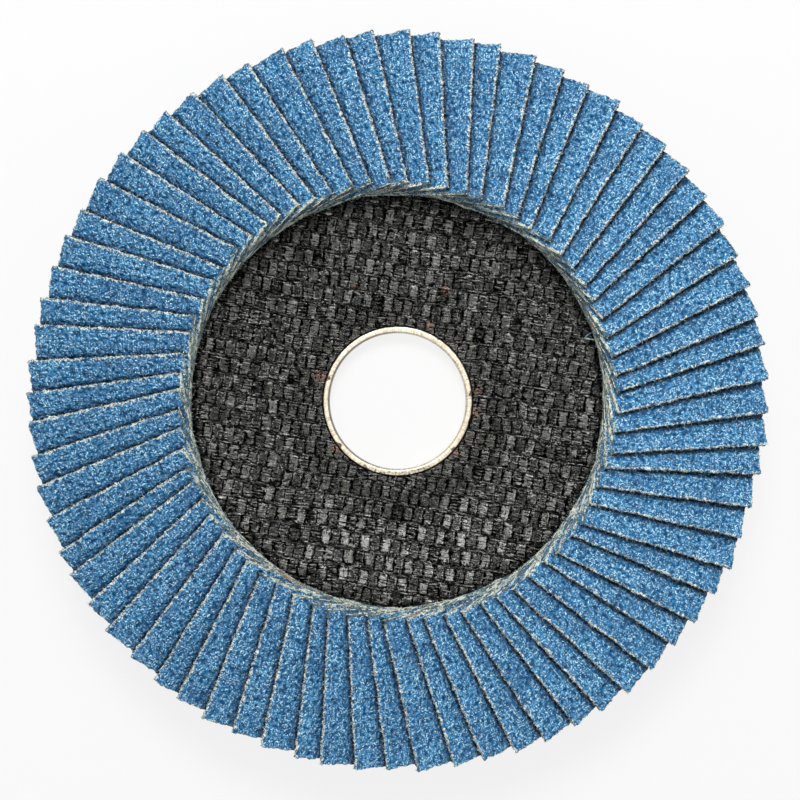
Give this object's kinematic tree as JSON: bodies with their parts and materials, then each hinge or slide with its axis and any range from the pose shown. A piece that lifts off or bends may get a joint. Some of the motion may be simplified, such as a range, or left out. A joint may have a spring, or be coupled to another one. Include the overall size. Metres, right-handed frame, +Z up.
{
  "type": "flap disc",
  "caption": "Flap disc for an angle grinder: overlapping blue abrasive cloth flaps fanned round a black mesh-and-resin backing plate with a steel-lined bore.",
  "frame": {"origin": "on the bore's axis, in the hub's back face, which seats on the grinder's flange and is the face that the disc lies on", "axes": "+Z up along the bore towards the work side; the first flap's centre line is over +Y, and +X follows by the right-hand rule"},
  "size_m": [0.1145, 0.1146, 0.0157],
  "materials": {
    "abrasive_flap": "blue coated abrasive grit on woven cloth, cream frayed cut edges",
    "plate_resin": "glossy black resin over a woven glass mesh relief",
    "adhesive": "dull dark cured epoxy",
    "ring_steel": "thin pressed steel with a warm tarnish and a little rust"
  },
  "bodies": {
    "root": {"backing_plate": "plate_resin", "bore_ring": "ring_steel", "adhesive_ring": "adhesive", "flaps_01_02": "abrasive_flap", "flaps_03_04": "abrasive_flap", "flaps_05_06": "abrasive_flap", "flaps_07_08": "abrasive_flap", "flaps_09_10": "abrasive_flap", "flaps_11_12": "abrasive_flap", "flaps_13_14": "abrasive_flap", "flaps_15_16": "abrasive_flap", "flaps_17_18": "abrasive_flap", "flaps_19_20": "abrasive_flap", "flaps_21_22": "abrasive_flap", "flaps_23_24": "abrasive_flap", "flaps_25_26": "abrasive_flap", "flaps_27_28": "abrasive_flap", "flaps_29_30": "abrasive_flap", "flaps_31_32": "abrasive_flap", "flaps_33_34": "abrasive_flap", "flaps_35_36": "abrasive_flap", "flaps_37_38": "abrasive_flap", "flaps_39_40": "abrasive_flap", "flaps_41_42": "abrasive_flap", "flaps_43_44": "abrasive_flap", "flaps_45_46": "abrasive_flap", "flaps_47_48": "abrasive_flap", "flaps_49_50": "abrasive_flap", "flaps_51_52": "abrasive_flap", "flaps_53_54": "abrasive_flap", "flaps_55_56": "abrasive_flap", "flaps_57_58": "abrasive_flap", "flaps_59_60": "abrasive_flap", "flaps_61_62": "abrasive_flap", "flaps_63_64": "abrasive_flap", "flaps_65_66": "abrasive_flap", "flaps_67_68": "abrasive_flap", "flaps_69_70": "abrasive_flap", "flaps_71_72": "abrasive_flap"}
  },
  "joints": []
}
